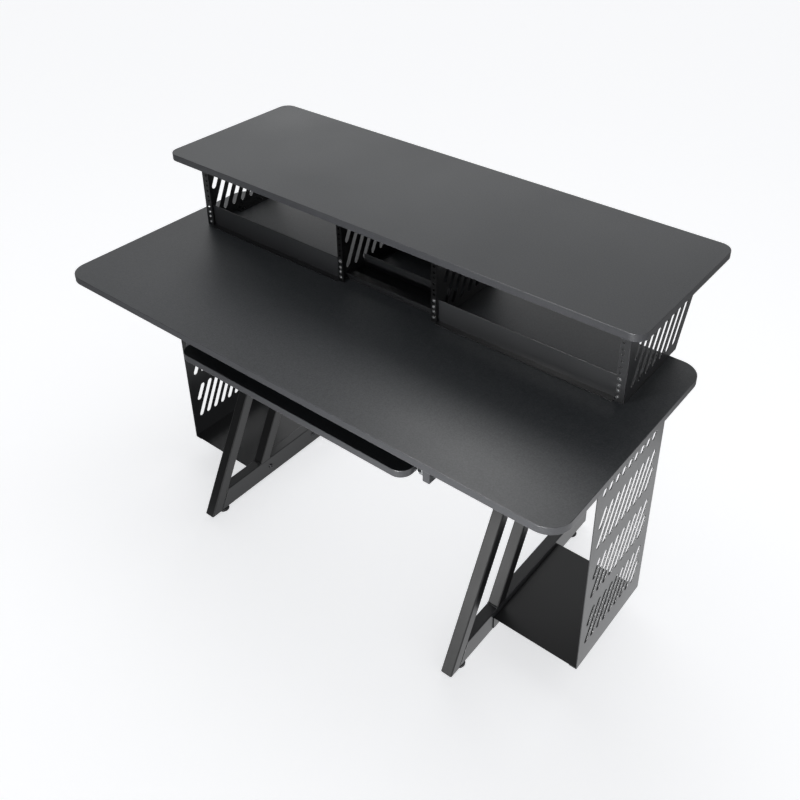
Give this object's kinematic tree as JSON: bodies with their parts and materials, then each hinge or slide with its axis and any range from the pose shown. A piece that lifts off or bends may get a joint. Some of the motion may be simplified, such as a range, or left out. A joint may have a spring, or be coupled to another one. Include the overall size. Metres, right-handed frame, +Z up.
{
  "type": "studio desk",
  "caption": "Black studio desk with a raised shelf over rack bays, a sliding keyboard tray, leaning tube legs on levelling feet and perforated computer holders",
  "frame": {"origin": "on the floor, under the middle of the whole desk's box", "axes": "+X along the desk's width to the right of someone who sits at it, +Y from the sitter's side to the rear, +Z up"},
  "size_m": [1.406, 0.748, 0.9396],
  "materials": {
    "laminate_board": "matte black fine-textured laminate with plastic edge band",
    "coated_steel": "satin black fine-textured powder coat",
    "zinc_steel": "bright zinc plating",
    "black_plastic": "matte moulded plastic",
    "black_steel": "black oxide on steel fasteners"
  },
  "bodies": {
    "frame": {"desk_top": "laminate_board", "upper_shelf": "laminate_board", "tray_hanger_left": "laminate_board", "tray_hanger_right": "laminate_board", "slide_outer_left": "zinc_steel", "slide_outer_right": "zinc_steel", "bottom_rail_left": "coated_steel", "front_leg_left": "coated_steel", "rear_strut_left": "coated_steel", "head_rail_left": "coated_steel", "bottom_rail_cap_left": "black_plastic", "head_rail_cap_rear_left": "black_plastic", "head_rail_cap_front_left": "black_plastic", "bottom_rail_right": "coated_steel", "front_leg_right": "coated_steel", "rear_strut_right": "coated_steel", "head_rail_right": "coated_steel", "bottom_rail_cap_right": "black_plastic", "head_rail_cap_rear_right": "black_plastic", "head_rail_cap_front_right": "black_plastic", "cross_beam_front": "coated_steel", "cross_beam_rear": "coated_steel", "foot_bush_front_left": "zinc_steel", "foot_bush_rear_left": "zinc_steel", "foot_bush_front_right": "zinc_steel", "foot_bush_rear_right": "zinc_steel", "holder_panel_left": "coated_steel", "holder_plate_left": "coated_steel", "holder_bolt_front_left": "black_steel", "holder_nut_front_left": "black_steel", "holder_bolt_rear_left": "black_steel", "holder_nut_rear_left": "black_steel", "holder_panel_right": "coated_steel", "holder_plate_right": "coated_steel", "holder_bolt_front_right": "black_steel", "holder_nut_front_right": "black_steel", "holder_bolt_rear_right": "black_steel", "holder_nut_rear_right": "black_steel", "rack_upright_left": "coated_steel", "rack_divider_left": "coated_steel", "rack_upright_right": "coated_steel", "rack_divider_right": "coated_steel", "bay_strip_left": "coated_steel", "bay_strip_right": "coated_steel", "centre_cable_tray": "coated_steel", "centre_back_panel": "coated_steel"},
    "keyboard_tray": {"keyboard_tray": "laminate_board", "slide_inner_left": "zinc_steel", "slide_inner_right": "zinc_steel"},
    "slide_middle_left": {"slide_middle_left": "zinc_steel"},
    "slide_middle_right": {"slide_middle_right": "zinc_steel"},
    "foot_front_left": {"levelling_foot_front_left": "black_plastic"},
    "foot_rear_left": {"levelling_foot_rear_left": "black_plastic"},
    "foot_front_right": {"levelling_foot_front_right": "black_plastic"},
    "foot_rear_right": {"levelling_foot_rear_right": "black_plastic"}
  },
  "joints": [
    {"name": "tray_slide", "type": "slide", "parent": "frame", "child": "keyboard_tray", "axis": [0, -1, 0], "range_m": [0, 0.3]},
    {"name": "slide_middle_left_run", "type": "slide", "parent": "frame", "child": "slide_middle_left", "axis": [0, -1, 0], "range_m": [0, 0.15]},
    {"name": "slide_middle_right_run", "type": "slide", "parent": "frame", "child": "slide_middle_right", "axis": [0, -1, 0], "range_m": [0, 0.15]},
    {"name": "foot_front_left_height", "type": "slide", "parent": "frame", "child": "foot_front_left", "axis": [0, 0, -1], "range_m": [-0.002, 0.012]},
    {"name": "foot_rear_left_height", "type": "slide", "parent": "frame", "child": "foot_rear_left", "axis": [0, 0, -1], "range_m": [-0.002, 0.012]},
    {"name": "foot_front_right_height", "type": "slide", "parent": "frame", "child": "foot_front_right", "axis": [0, 0, -1], "range_m": [-0.002, 0.012]},
    {"name": "foot_rear_right_height", "type": "slide", "parent": "frame", "child": "foot_rear_right", "axis": [0, 0, -1], "range_m": [-0.002, 0.012]}
  ],
  "couplings": [
    {"joint": "slide_middle_left_run", "follows": "tray_slide", "ratio": 0.5},
    {"joint": "slide_middle_right_run", "follows": "tray_slide", "ratio": 0.5}
  ]
}
